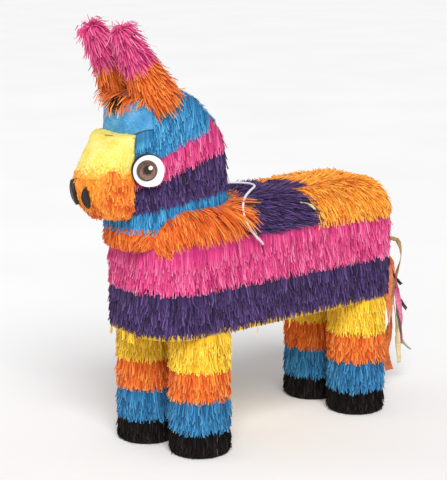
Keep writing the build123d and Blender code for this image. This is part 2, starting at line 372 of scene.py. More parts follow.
def evenly(points, pitch, offset=0.0):
    # points along a chain at equal steps
    spots = []
    run = offset * pitch
    for first, second in zip(points, points[1:]):
        span = (second - first).length
        while run <= span and span > 0:
            spots.append(first.lerp(second, run / span))
            run += pitch
        run -= span
    return spots


def flatten(heading, normal):
    flat = heading - normal * heading.dot(normal)
    return flat.normalized() if flat.length > 1e-6 else heading


def slide(point, heading, distance, tree, step=0.003, reach=0.006):
    # walks over the card and off its edges; gives the place, the outward direction and the heading there
    here = point.copy()
    normal = tree.find_nearest(here)[1]
    moved = 0.0
    while moved < distance - 1e-9:
        part = min(step, distance - moved)
        heading = flatten(heading, normal)
        ahead = here + heading * part
        hit, found, _, gap = tree.find_nearest(ahead)
        if gap < reach:
            here, normal = hit, (normal + found * 1.5).normalized()
        else:
            heading = (heading + Vector((0, 0, -0.25))).normalized()
            here = ahead
        moved += part
    return here, normal, flatten(heading, normal)


cutFringe = {
    "length": 20.0,
    "uneven": 0.26,
    "strip": 2.5,
    "header": 10.0,
    "lift": 3.4,
    "root": 0.7,
    "sway": 2.4,
    "jitter": 0.8,
    "twist": 90.0,
    "taper": 0.5,
    "steps": 3,
    "layers": 2,
}

floorGap = 0.0012  # no strip reaches lower


def stripRuns(chain, pitch, offset, allowed):
    # unbroken runs of strips along a chain, each strip a pair of points
    spots = evenly(chain, pitch, offset)
    runs, run = [], []
    for first, second in zip(spots, spots[1:]):
        fine = (second - first).length < pitch * 1.8
        if fine and (allowed is None or allowed((first + second) / 2)):
            run.append((first, second))
        elif run:
            runs.append(run)
            run = []
    return [run for run in [*runs, run] if len(run) > 1]


def slitGrid(bm, strips, steps):
    # a grid slit into strips below its header: its corners row by row, and how many make a row
    columns = 2 * strips - 1
    grid = bmesh.ops.create_grid(bm, x_segments=columns, y_segments=steps + 1, size=0.5)
    verts = sorted(grid["verts"], key=lambda vert: (round(vert.co.y, 4), vert.co.x))
    slits = []
    for face in {face for vert in verts for face in vert.link_faces}:
        centre = face.calc_center_median()
        column = int((centre.x + 0.5) * columns)
        if column % 2 and centre.y > -0.5 + 1.0 / (steps + 1):
            slits.append(face)
    bmesh.ops.delete(bm, geom=slits, context="FACES")
    return verts, columns + 1


def fringeRow(bm, chain, falling, cut, tree, allowed=None, lengthAt=None):
    # chain: where the row is stuck on; falling: the way its strips lie; two layers make it full
    shade = bm.verts.layers.float["shade"]
    along = bm.verts.layers.float["along"]
    steps = cut["steps"]
    for layer in range(cut["layers"]):
        for run in stripRuns(chain, cut["strip"] * mm, 0.5 * layer, allowed):
            verts, wide = slitGrid(bm, len(run), steps)
            drift = dice.random() * 40
            for strip, (first, second) in enumerate(run):
                root = (first + second) / 2
                normal = tree.find_nearest(root)[1]
                side = (second - first).normalized()
                heading = flatten(falling(root, normal), normal)
                length = (lengthAt(root) if lengthAt else cut["length"]) * mm
                clump = noise.noise(Vector((strip * 0.24 + drift, layer * 3.0, 0)))
                length *= 1 + cut["uneven"] * (dice.uniform(-1, 1) * 0.75 + clump * 0.8)
                tone = min(1.0, max(0.0, 0.5 + 0.5 * dice.uniform(-1, 1) + 0.35 * clump))
                rise = cut["lift"] * mm * (0.35 + 0.8 * dice.random() + 0.4 * clump)
                rise *= 1.0 if layer else 0.55
                sway = cut["sway"] * mm * dice.gauss(0, 0.6)
                twist = math.radians(cut["twist"]) * dice.gauss(0, 0.6)
                curl = dice.uniform(-0.35, 0.6)
                base = (cut["root"] + 0.45 * layer) * mm
                back, outer, _ = slide(root, -heading, cut["header"] * mm, tree, cut["header"] * mm * 0.5)
                here = root
                for level in range(steps + 2):
                    if level == 0:
                        place, across = back, flatten(side, outer)
                        edge, facing, share = across, outer, 0.0
                        spread, up, lean = (second - first).length, base * 0.4, 0.0
                    else:
                        share = (level - 1) / steps
                        if level > 1:
                            here, normal, heading = slide(here, heading, length / steps, tree, length / steps)
                        place, facing = here, normal
                        spread = (second - first).length * (0.94 - cut["taper"] * share**1.6)
                        up = base + rise * (share**1.3) * (1 - curl * share**3 * 0.5)
                        lean = sway * share**1.4
                        if level > 1:
                            lean += dice.gauss(0, cut["jitter"]) * mm * share
                            up += abs(dice.gauss(0, cut["jitter"])) * mm * share
                        across = flatten(side, heading)
                        turn = twist * share
                        edge = across * math.cos(turn) + normal * math.sin(turn)
                    middle = place + facing * up + across * lean
                    for half in (0, 1):
                        vert = verts[level * wide + 2 * strip + half]
                        vert.co = middle + edge * spread * (half - 0.5)
                        vert.co.z = max(vert.co.z, floorGap)
                        vert[shade] = tone
                        vert[along] = share


rowSpacing = {"over": 1.55, "lowest": 1.12, "tucked": 0.6, "topHeader": 13.0}


def stackRows(bm, rowAt, band, cut, tree, tuck=3.0):
    # rows one above another; rowAt gives a row's line for a height; the lowest one ends on the band's edge
    for row in range(band["rows"]):
        top = row == band["rows"] - 1
        chain = rowAt((row + 1) / band["rows"], tuck if top else 0.0)
        pitch = (band["top"] - band["foot"]) / band["rows"]
        if top and tuck:
            pitch += tuck * rowSpacing["tucked"]
        length = pitch * (rowSpacing["over"] if row else rowSpacing["lowest"])
        header = rowSpacing["topHeader"] if top else pitch
        fringeRow(bm, chain, downwards, {**cut, "length": length, "header": header}, tree)


def newFringe():
    bm = bmesh.new()
    bm.verts.layers.float.new("shade")
    bm.verts.layers.float.new("along")
    return bm


def downwards(root, normal):
    return Vector((0, 0, -1))


tissue = {tone: tissuePaper("tissue_" + tone, parts) for tone, parts in tissueTones.items()}
muzzleFlecks = {"tone": (0.93, 0.36, 0.03), "low": 0.347, "high": 0.379}
wraps = {
    "orange": crepePaper("crepe_orange", wrapTones["orange"]),
    "gold": crepePaper("crepe_gold", wrapTones["gold"]),
    "yellow": crepePaper("crepe_yellow", wrapTones["yellow"], flecks=muzzleFlecks),
    "blue": crepePaper("crepe_blue", wrapTones["blue"], grain=(30.0, 240.0, 240.0)),
}
card = bareCard("brown_card")
paperThickness = 0.00022


def finishFringe(bm, name, tone, body, slotName, *replaced):
    piece = addPiece(bm, name, [tissue[tone]], thickness=paperThickness)
    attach(piece, body)
    if replaced:
        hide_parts(*replaced)


# the body's sides

sideBands = {
    "purple": {"top": 207.0, "foot": 155.0, "rows": 5, "node": "body_purple_fringe"},
    "pink": {"top": 262.0, "foot": 207.0, "rows": 5, "node": "body_pink_fringe"},
}
sideCut = {**cutFringe, "lift": 3.2, "uneven": 0.28, "sway": 2.2}
skirtCut = {**sideCut, "length": 17.0, "lift": 1.2, "header": 2.0, "layers": 3, "taper": 0.35}
skirtLine = 157.5  # where the yellow edge under the belly is stuck on
flankTop = 262.0  # the card rounds over above this


def aroundBody(height):
    return fanned(bodyCard, Vector((0, 0, height * mm)), Vector((1, 0, 0)), Vector((0, 1, 0)), 360)


def pinkTop(y):
    # the pink band starts lower across the chest, under the collar
    return 254.0 + 8.0 * min(1.0, max(0.0, (y + 150.0) / 102.0))


def coverSides():
    skirt = newFringe()
    fringeRow(skirt, aroundBody(skirtLine), downwards, skirtCut, allCard)
    finishFringe(skirt, "belly_skirt", "yellow", "pinata", "tissue_yellow")
    for tone, band in sideBands.items():
        bm = newFringe()

        def rowAt(share, tuck, band=band):
            height = band["foot"] + (band["top"] - band["foot"]) * share + tuck * 0.5
            ring = aroundBody(min(height, flankTop))
            if tuck and band["top"] > 250:
                ring = [Vector((p.x, p.y, min(p.z, pinkTop(p.y / mm) * mm))) for p in ring]
            return ring

        stackRows(bm, rowAt, band, sideCut, allCard)
        finishFringe(bm, "body_" + tone, tone, "pinata", "tissue_" + tone, band["node"])
    say("sides covered")


# legs

legBands = {
    "black": {"top": 31.0, "foot": 2.0, "rows": 3},
    "blue": {"top": 70.0, "foot": 31.0, "rows": 4},
    "orange": {"top": 107.0, "foot": 70.0, "rows": 4},
    "yellow": {"top": 152.0, "foot": 107.0, "rows": 5},
}
legCut = {**cutFringe, "lift": 3.2, "uneven": 0.3, "sway": 2.2}
# an even, close row hides the card at the foot, at this share of the black band
hemCut = {
    **legCut, "length": 9.0, "header": 3.0, "uneven": 0.05, "lift": 0.8, "taper": 0.0, "sway": 0.3,
    "jitter": 0.1, "twist": 0.0,
}
hemShare = 0.3


def coverLegs():
    for leg in legNames:
        tube = surfaceOf(leg + "_leg_tube")
        low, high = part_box(leg + "_leg_tube")
        middle = (Vector(low) + Vector(high)) / 2
        for tone, band in legBands.items():
            bm = newFringe()

            def rowAt(share, tuck, band=band):
                height = (band["foot"] + (band["top"] - band["foot"]) * share + tuck * 0.5) * mm
                return fanned(tube, Vector((middle.x, middle.y, height)), Vector((1, 0, 0)), Vector((0, 1, 0)), 90)

            tuck = 3.0 if tone != "yellow" else 0.0
            stackRows(bm, rowAt, band, legCut, tube, tuck)
            if tone == "black":
                fringeRow(bm, rowAt(hemShare, 0.0), downwards, hemCut, tube)
            finishFringe(bm, leg + "_" + tone, tone, "pinata", "tissue_" + tone, leg + "_leg_" + tone + "_fringe")
    say("legs covered")


# neck and head

neckFront = -209.0
# the sky tone on the blue bands is a lighter copy of the legs' blue paper: painted light on the head and neck
neckBands = {
    # height at the neck's front and climb towards the back, for the lower and the upper edge
    "blue": {"low": (281.0, 0.01), "high": (304.3, 0.117), "rows": 3, "tone": "sky", "node": "neck_blue_fringe"},
    "purple": {"low": (304.3, 0.117), "high": (332.0, 0.29), "rows": 5, "tone": "purple", "node": "neck_purple_fringe"},
    "pink": {"low": (332.0, 0.29), "high": (356.0, 0.39), "rows": 3, "tone": "pink", "node": "neck_pink_fringe"},
    "head": {"low": (356.0, 0.39), "high": (387.5, 0.62), "rows": 5, "tone": "sky", "node": "head_blue_fringe"},
}
crownRows = {"count": 5, "pitch": 8.0, "climb": 0.62}
neckCut = {**cutFringe, "lift": 2.4, "uneven": 0.28, "sway": 2.2, "twist": 80.0}


def neckRing(height, climb, at=-140.0, spokes=150):
    middle = Vector((0, at, height + climb * (at - neckFront))) * mm
    ahead = Vector((0, 1, climb)).normalized()
    return fanned(neckCard, middle, Vector((1, 0, 0)), ahead, spokes)


def clearOfMuzzle(point):
    x, y, z = point / mm
    inside = y < -204 and abs(x) < 27 and 304 < z < 390
    brow = y < -184 and z > 387.5 + 0.62 * (y - neckFront) - 2
    return not inside and not brow


def coverNeck():
    for name, band in neckBands.items():
        bm = newFringe()
        rows = band["rows"]
        under = allCard if name == "blue" else neckCard
        slotName = "tissue_" + band["tone"].replace("sky", "blue")
        edges = []
        for row in range(rows + 1):
            edges.append([low + (high - low) * row / rows for low, high in zip(band["low"], band["high"])])
        tops = [(above, -140.0) for above in edges[1:]]
        if name == "head":
            for extra in range(crownRows["count"]):
                level = [387.5 + crownRows["pitch"] * (extra + 1), crownRows["climb"]]
                edges.append(level)
                tops.append((level, -186.0))
        for row, (below, (above, at)) in enumerate(zip(edges, tops)):
            last = row == rows - 1 and name != "head"
            lifted = [above[0] + (2.0 if last else 0.0), above[1]]
            over = 1.6 if row else 1.15

            def reachDown(point, below=below, above=lifted, over=over):
                y = point.y / mm - neckFront
                return over * max(7.0, (above[0] + above[1] * y) - (below[0] + below[1] * y)) + 1

            fringeRow(bm, neckRing(*lifted, at=at), downwards, neckCut, under, clearOfMuzzle, reachDown)
        finishFringe(bm, "neck_" + name, band["tone"], "pinata", slotName, band["node"])
    say("neck covered")


# collar, saddle and rump

collarCut = {**cutFringe, "strip": 2.6, "header": 5.0, "uneven": 0.34, "sway": 3.0, "taper": 0.75}
collarTips = {
    **collarCut, "strip": 3.2, "length": 30.0, "lift": 20.0, "header": 3.0, "sway": 4.5, "uneven": 0.2, "layers": 1,
}
collarRows = (0.82, 0.66, 0.50, 0.33, 0.16, 0.0)  # shares of the collar's reach
collarSpan = (
    # how far the collar comes down, from the chest to the back of the neck
    (-215.0, 30.0), (-195.0, 26.0), (-182.0, 27.0), (-168.0, 34.0), (-145.0, 39.0), (-105.0, 43.0),
    (-84.0, 46.0), (-68.0, 30.0), (-55.0, 17.0),
)
shoulderRows = ((20, 7.0), (11, 5.0), (4, 2.5))  # distance from the neck, height of the long strips' roots
saddleCut = {**cutFringe, "strip": 2.6, "lift": 4.5, "length": 19.0, "uneven": 0.3, "sway": 2.6, "taper": 0.7}
saddleRows = {"last": 42.0, "pitch": 9.5, "count": 12}
foldCut = {**saddleCut, "length": 12.0, "lift": 0.5, "uneven": 0.1, "header": 5.0, "twist": 20.0, "taper": 0.3}
foldLine = 22  # a flat row before the flap's fold
rumpCut = {**cutFringe, "strip": 2.6, "lift": 4.5, "length": 14.0, "uneven": 0.3, "sway": 3.0}
rumpRows = {"first": 12, "pitch": 8, "count": 10}
spineRows = (140, 133, 126, 119, 112)  # short rows that close the rump behind the flap
flapEdge = {"x": 27.0, "front": 38.0, "back": 104.0}
flapCut = {**rumpCut, "lift": 5.0, "length": 16.0}
flapRows = {"amber": (92, 83, 74, 65, 56), "purple": ((48, 8.0), (40.5, 2.0))}


def awayFromNeck(root, normal):
    out = Vector((root.x, (root.y + 0.135) * 0.75, 0))
    return out.normalized() + Vector((0, 0, -0.5))


def collarReach(y):
    # how far down the collar comes from the neck's foot, around the neck
    for (y0, reach0), (y1, reach1) in zip(collarSpan, collarSpan[1:]):
        if y <= y1:
            return reach0 + (reach1 - reach0) * max(0.0, (y - y0) / (y1 - y0))
    return collarSpan[-1][1]


def neckFoot():
    # the line where the neck comes out of the body
    line = []
    for point in neckRing(308.0, 0.0, at=-135.0, spokes=220):
        out = Vector((point.x, point.y + 0.135, 0)).normalized()
        above = point + out * 0.0015
        hit = bodyCard.ray_cast(Vector((above.x, above.y, 0.5)), Vector((0, 0, -1)))[0]
        height = max(0.283, hit.z if hit else 0)
        line.append(Vector((above.x, above.y, height)))
    return line


def overFlap(point, room=2.0):
    x, y = point.x / mm, point.y / mm
    return abs(x) < flapEdge["x"] + room and flapEdge["front"] - room < y < flapEdge["back"] + room


def saddleEnd(x):
    # how far back the purple goes at this distance from the middle
    return 32.5 + 0.23 * max(0.0, abs(x) - 27.0)


def walked(chain, falling, distance, tree):
    # the same row moved along the way its strips fall
    moved = []
    for point in chain:
        normal = tree.find_nearest(point)[1]
        far = distance(point) if callable(distance) else distance
        moved.append(slide(point, flatten(falling(point, normal), normal), far * mm, tree)[0])
    return moved


def collarLength(point):
    return 5 + 0.28 * collarReach(point.y / mm)


def onShoulder(point):
    # here long strips stand out towards the cord
    return -108 < point.y / mm < -68 and abs(point.x) > 0.03


def coverCollar():
    bm = newFringe()
    foot = neckFoot()
    for share in collarRows:

        def comesDown(point, share=share):
            return share * collarReach(point.y / mm)

        line = walked(foot, awayFromNeck, comesDown, allCard)
        fringeRow(bm, line, awayFromNeck, collarCut, allCard, None, collarLength)
    for reach, root in shoulderRows:
        line = walked(foot, awayFromNeck, reach, allCard)
        fringeRow(bm, line, awayFromNeck, {**collarTips, "root": root}, allCard, onShoulder)
    finishFringe(bm, "collar", "orange", "pinata", "tissue_orange", "collar_fringe")
    say("collar covered")


def acrossBack(y):
    return [Vector((x, y, 303)) * mm for x in range(-30, 31, 2)]


def onSaddle(point):
    x, y, _ = point / mm
    return y < saddleEnd(x) - 12 + 0.22 * max(0.0, abs(x) - 27.0) and not overFlap(point, 3)


def saddleReach(point):
    # the strips before the flap stop short of its fold
    x, y, _ = point / mm
    return saddleCut["length"] if abs(x) > 30 else min(saddleCut["length"], (36 - y) / 1.3)


def rearwards(root, normal):
    return Vector((root.x * 2.2, 0.14 + abs(root.x), -0.02))


def coverSaddle():
    bm = newFringe()
    for step in range(saddleRows["count"]):
        y = saddleRows["last"] - saddleRows["pitch"] * step
        bridge = fanned(bodyCard, Vector((0, y, 250)) * mm, Vector((1, 0, 0)), Vector((0, 0, 1)), 200, (13.0, 167.0))
        fringeRow(bm, bridge, rearwards, saddleCut, allCard, onSaddle, saddleReach)
    fringeRow(bm, acrossBack(foldLine), rearwards, foldCut, allCard)
    finishFringe(bm, "saddle", "purple", "pinata", "tissue_purple", "saddle_fringe")
    say("saddle covered")


def towardsSpine(root, normal):
    y = min(120.0, max(-60.0, root.y / mm))
    return Vector((0, y * mm, root.z)) - root + Vector((0, 0, 0.02))


def offSpine(root, normal):
    return -towardsSpine(root, normal) + Vector((0, 0, -0.02))


def behindFlap(root, normal):
    return Vector((root.x * 6, 1, -0.02))


def onRump(point):
    x, y, z = point / mm
    return y > saddleEnd(x) + 2 and not overFlap(point, 3) and z > 255


def coverRump():
    bm = newFringe()
    rim = fanned(bodyCard, Vector((0, 0, 0.2625)), Vector((1, 0, 0)), Vector((0, 1, 0)), 360)
    for step in range(rumpRows["count"]):
        line = walked(rim, towardsSpine, rumpRows["first"] + rumpRows["pitch"] * step, allCard)
        fringeRow(bm, line, offSpine, rumpCut, allCard, onRump)
    for y in spineRows:
        fringeRow(bm, acrossBack(y), behindFlap, {**rumpCut, "header": 4.0}, allCard, onRump)
    finishFringe(bm, "rump", "amber", "pinata", "tissue_amber", "rump_fringe")
    say("rump covered")


def coverFlap():
    flapCard = surfaceOf("fill_flap")

    def across(y):
        return [Vector((x * mm, y * mm, 0.303)) for x in range(-26, 27, 2)]

    def backwards(root, normal):
        return Vector((root.x * 0.5, 0.03, 0))

    bm = newFringe()
    for y in flapRows["amber"]:
        fringeRow(bm, across(y), backwards, flapCut, flapCard)
    finishFringe(bm, "flap_amber", "amber", "flap", "tissue_amber", "flap_fringe")
    bm = newFringe()
    for y, header in flapRows["purple"]:
        fringeRow(bm, across(y), backwards, {**flapCut, "lift": 3.2, "length": 17.0, "header": header}, flapCard)
    finishFringe(bm, "flap_purple", "purple", "flap", "tissue_purple")
    say("flap covered")


# ears

earShape = {
    "foot": (29.0, -163.0, 424.0),
    "tip": (29.0, -219.0, 515.0),
    "change": 0.66,  # pink from here up
    "rows": 11,
    "hem": 1.35,  # how much longer the lowest row is
}
earCut = {
    **cutFringe, "strip": 2.4, "lift": 6.0, "length": 17.0, "uneven": 0.34, "sway": 3.0, "taper": 0.55, "header": 6.0,
}
apronRows = ((-178.0, 20.0), (-187.0, 24.0), (-196.0, 24.0))  # place and length of the rows before the ears
rowBow = 0.011  # how far those rows bend back to the sides
tuftRings = (0.0095, 0.0070, 0.0045, 0.0022)
tuftCut = {**earCut, "length": 11.0, "lift": 11.0, "header": 2.0}


def headLine(across, y):
    hits = [neckCard.ray_cast(Vector((x, y + rowBow * x * x, 600)) * mm, Vector((0, 0, -1)))[0] for x in across]
    return [hit for hit in hits if hit]


def forwards(root, normal):
    return Vector((root.x * 18, -1, -0.6))


def coverEars():
    for word, side in (("left", 1), ("right", -1)):
        cone = surfaceOf(word + "_ear_cone")
        rooted = surfaceOf(word + "_ear_cone", "neck_tube", "head_cap")
        foot = Vector((earShape["foot"][0] * side, *earShape["foot"][1:])) * mm
        tip = Vector((earShape["tip"][0] * side, *earShape["tip"][1:])) * mm
        axis = (tip - foot).normalized()
        across = axis.orthogonal().normalized()
        ahead = axis.cross(across)
        built = {"orange": newFringe(), "pink": newFringe()}
        for row in range(earShape["rows"]):
            share = 0.20 + 0.79 * row / (earShape["rows"] - 1)
            tone = "pink" if share > earShape["change"] else "orange"
            ring = fanned(cone, foot.lerp(tip, share), across, ahead, 60, reach=0.08)

            def hang(root, normal):
                return -axis

            length = earCut["length"] * (earShape["hem"] if row == 0 else 1.0)
            rowCut = {**earCut, "length": length, "lift": earCut["lift"] * (0.75 + 0.8 * share)}
            fringeRow(built[tone], ring, hang, rowCut, rooted if row == 0 else cone)
        for y, length in apronRows:
            line = headLine(range(side, side * 44, side * 2), y)
            fringeRow(built["orange"], line, forwards, {**earCut, "length": length, "header": 4.0}, neckCard)
        for ringSize in tuftRings:
            crown = [tip + (across * math.cos(a / 8) + ahead * math.sin(a / 8)) * ringSize for a in range(0, 51)]

            def outwards(root, normal):
                return (root - tip).normalized() * 1.3 + axis * 0.8

            fringeRow(built["pink"], crown, outwards, tuftCut, cone)
        for tone, bm in built.items():
            band = word + "_ear_" + tone
            finishFringe(bm, band, tone, "pinata", "tissue_" + tone, band + "_fringe")
    say("ears covered")


# smooth paper on the face

faceWrap = {"lift": 1.3, "crumple": 1.7, "fold": 42.0}
chinWrap = {**faceWrap, "lift": 0.9, "fold": 75.0}
browWrap = {**faceWrap, "lift": 1.6}
noseCut = {**cutFringe, "strip": 2.4, "length": 9.5, "header": 4.0, "lift": 2.2, "uneven": 0.4, "layers": 1}
gapCut = {**noseCut, "root": 2.2, "lift": 3.0, "length": 10.0, "layers": 2}


def wrapSheet(name, chains, material, settings, tree, paper):
    # a sheet of paper over the card, row by row, with soft crumples
    columns = len(chains[0]) - 1
    bm = bmesh.new()
    grid = bmesh.ops.create_grid(bm, x_segments=columns, y_segments=len(chains) - 1, size=0.5)
    verts = sorted(grid["verts"], key=lambda vert: (round(vert.co.y, 4), vert.co.x))
    for row, chain in enumerate(chains):
        for column, point in enumerate(chain):
            normal = tree.find_nearest(point)[1]
            wave = noise.fractal(point * settings["fold"], 0.8, 2.2, 4) * settings["crumple"]
            verts[row * (columns + 1) + column].co = point + normal * (settings["lift"] + wave) * mm
    bmesh.ops.recalc_face_normals(bm, faces=bm.faces)
    piece = addPiece(bm, name, [material], smooth=True, thickness=0.0003)
    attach(piece, "pinata")
    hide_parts(paper)


def resampled(points, count):
    total = sum((b - a).length for a, b in zip(points, points[1:]))
    return evenly(points + [points[-1] + (points[-1] - points[-2])], total / count)[: count + 1]


def wrapMuzzle():
    def level(z):
        middle = Vector((0, neckFront, z)) * mm
        return resampled(fanned(headCard, middle, Vector((1, 0, 0)), Vector((0, 1, 0)), 130, (166.0, 374.0)), 110)

    lower = [level(299.6 + 1.9 * step) for step in range(29)]
    chin = [[p.lerp(Vector((p.x * 0.6, -0.207, 0.2985)), share) for p in lower[0]] for share in (0.9, 0.6, 0.3)]
    sheet = chin + lower
    wrapSheet("muzzle_orange", sheet, wraps["orange"], chinWrap, headCard, "muzzle_orange_paper")
    upper = [level(347.0 + 1.9 * step) for step in range(25)]
    crest = upper[-1]
    top = [[p.lerp(Vector((p.x * 0.9, max(p.y, -0.206), 0.3962)), share) for p in crest] for share in (0.35, 0.7, 1.0)]
    wrapSheet("muzzle_yellow", upper + top, wraps["yellow"], faceWrap, headCard, "muzzle_yellow_paper")
    say("muzzle wrapped")


def coverNose():
    nose = {"orange": newFringe(), "amber": newFringe()}
    for step in range(10):
        z = 304.0 + 5.8 * step
        ring = fanned(headCard, Vector((0, -209.0, z)) * mm, Vector((1, 0, 0)), Vector((0, 1, 0)), 130, (176.0, 364.0))

        for tone in nose:

            def chosen(point, tone=tone, step=step):
                pale = noise.noise(point * 160) > 0.48 - 0.05 * step - (0.40 if point.y < -0.246 else 0)
                return pale == (tone == "amber")

            fringeRow(nose[tone], ring, downwards, noseCut, headCard, chosen)
    for tone, bm in nose.items():
        finishFringe(bm, "muzzle_fringe_" + tone, tone, "pinata", "tissue_" + tone)
    say("nose covered")


# black strips fill the gap between the ears where the shade is deep: painted shade
def shadeEarGap():
    shadow = newFringe()
    for y in (-200.0, -204.0):
        fringeRow(shadow, headLine(range(-11, 13, 2), y), forwards, gapCut, neckCard)
    finishFringe(shadow, "ear_gap_shade", "black", "pinata", "tissue_black")


def wrapForehead():
    brow = []
    for step in range(40):
        chain = []
        for column in range(61):
            x = -42.0 + 84.0 * column / 60
            lowest = -14.0 + 31.0 * abs(x / 42.0) ** 3
            angle = math.radians(lowest + (114.0 - lowest) * step / 39)
            outward = Vector((0, -math.cos(angle), math.sin(angle)))
            inside = Vector((x, -172.0, 398.0)) * mm
            hit = neckCard.ray_cast(inside + outward * 0.12, -outward, 0.12)[0]
            chain.append(hit or inside)
        brow.append(chain)
    wrapSheet("forehead", brow, wraps["blue"], browWrap, neckCard, "forehead_paper")
    say("forehead wrapped")


# eyes and nostrils

eyeLook = {
    "turn": 66.0, "white": 18.4, "lash": 19.0, "lashShift": (1.4, 1.2), "raise": 1.6,
    "rim": 12.4, "iris": 11.4, "pupil": 5.0, "glint": 2.5, "shift": (2.2, 0.4),
}
nostrilLook = {
    "left": {"x": 11.5, "z": 327.5, "width": 7.5, "height": 23.0, "lean": 2.0},
    "right": {"x": 8.6, "z": 331.0, "width": 12.0, "height": 27.0, "lean": 2.0},
}
nostrilStand = 2.4  # clear of the strips round them
inks = [
    printedCard("eye_white", (0.92, 0.88, 0.87)),
    printedCard("eye_dark", (0.022, 0.014, 0.012)),
    printedCard("eye_brown", (0.145, 0.075, 0.055), grain=0.3),
    printedCard("eye_tan", (0.29, 0.165, 0.125), grain=0.25),
    printedCard("eye_glint", (0.95, 0.88, 0.74)),
    printedCard("eye_grey", (0.20, 0.135, 0.13), grain=0.2),
]


def disc(bm, radius, centre, frame, height, ink, segments=48, bulge=0.0):
    # a thin round card; the bulge pushes its lower rear edge out
    across, up, out = frame
    made = bmesh.ops.create_circle(bm, cap_ends=True, segments=segments, radius=radius * mm)
    raised = bmesh.ops.extrude_face_region(bm, geom=[made["verts"][0].link_faces[0]])
    top = [part for part in raised["geom"] if isinstance(part, bmesh.types.BMVert)]
    bmesh.ops.translate(bm, verts=top, vec=(0, 0, height * mm))
    everything = made["verts"] + top
    for vert in everything:
        slant = math.atan2(vert.co.y, vert.co.x)
        push = max(0.0, math.cos(slant - math.radians(-52.0))) ** 14 * bulge
        vert.co.x += math.cos(slant) * push * mm
        vert.co.y += math.sin(slant) * push * mm
    turn = Matrix((across, up, out)).transposed().to_4x4()
    bmesh.ops.transform(bm, matrix=Matrix.Translation(centre) @ turn, verts=everything)
    for face in {face for vert in everything for face in vert.link_faces}:
        face.material_index = ink


def makeEyes():
    look = eyeLook
    for word, side in (("left", 1), ("right", -1)):
        turn = math.radians(look["turn"])
        out = Vector((side * math.sin(turn), -math.cos(turn), 0))
        up = Vector((0, 0, 1))
        ahead = Vector((-side * math.cos(turn), -math.sin(turn), 0))
        face = (-ahead, up, out)
        low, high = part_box(word + "_eye")
        middle = (Vector(low) + Vector(high)) / 2 - out * 1.0 * mm + up * look["raise"] * mm
        iris = middle + ahead * look["shift"][0] * mm + up * look["shift"][1] * mm
        bm = bmesh.new()
        lash = middle + ahead * look["lashShift"][0] * mm + up * look["lashShift"][1] * mm
        disc(bm, look["lash"], lash, face, 0.8, 1)
        disc(bm, look["white"], middle, face, 1.5, 0, bulge=1.6)
        disc(bm, look["rim"], iris, face, 1.65, 5)
        disc(bm, look["iris"], iris, face, 1.8, 2)
        disc(bm, look["iris"] * 0.78, iris + up * -1.5 * mm - ahead * 0.6 * mm, face, 1.9, 3)
        disc(bm, look["pupil"] * 1.35, iris - ahead * 0.8 * mm + up * 1.0 * mm, face, 2.0, 2)
        disc(bm, look["pupil"], iris - ahead * 0.8 * mm + up * 1.0 * mm, face, 2.1, 1)
        disc(bm, look["glint"], iris - ahead * 4.2 * mm + up * 3.2 * mm, face, 2.25, 4)
        bmesh.ops.recalc_face_normals(bm, faces=bm.faces)
        eye = addPiece(bm, word + "_eye_print", inks)
        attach(eye, "pinata")
        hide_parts(word + "_eye", word + "_eye_lash")
    say("eyes made")


def makeNostrils():
    for word, side in (("left", 1), ("right", -1)):
        bm = bmesh.new()
        bmesh.ops.create_circle(bm, cap_ends=True, segments=32, radius=0.5)
        bmesh.ops.subdivide_edges(bm, edges=bm.edges, cuts=1)
        bmesh.ops.inset_region(bm, faces=bm.faces, thickness=0.12)
        nose = nostrilLook[word]
        for vert in bm.verts:
            narrow = 1.0 - 0.42 * max(0.0, vert.co.y * 2)
            edge = (vert.co.x**2 + vert.co.y**2) * 4
            x = (nose["x"] + vert.co.x * nose["width"] * narrow + vert.co.y * nose["lean"]) * side
            z = nose["z"] + vert.co.y * nose["height"]
            hit, normal, _, _ = headCard.ray_cast(Vector((x, -400, z)) * mm, Vector((0, 1, 0)))
            vert.co = hit + normal * (nostrilStand + 1.3 * edge) * mm
        if side > 0:
            bmesh.ops.reverse_faces(bm, faces=bm.faces)
        nostril = addPiece(bm, word + "_nostril_card", [inks[1]], smooth=True, thickness=0.004)
        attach(nostril, "pinata")
        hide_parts(word + "_nostril")
    say("nostrils made")


# tail

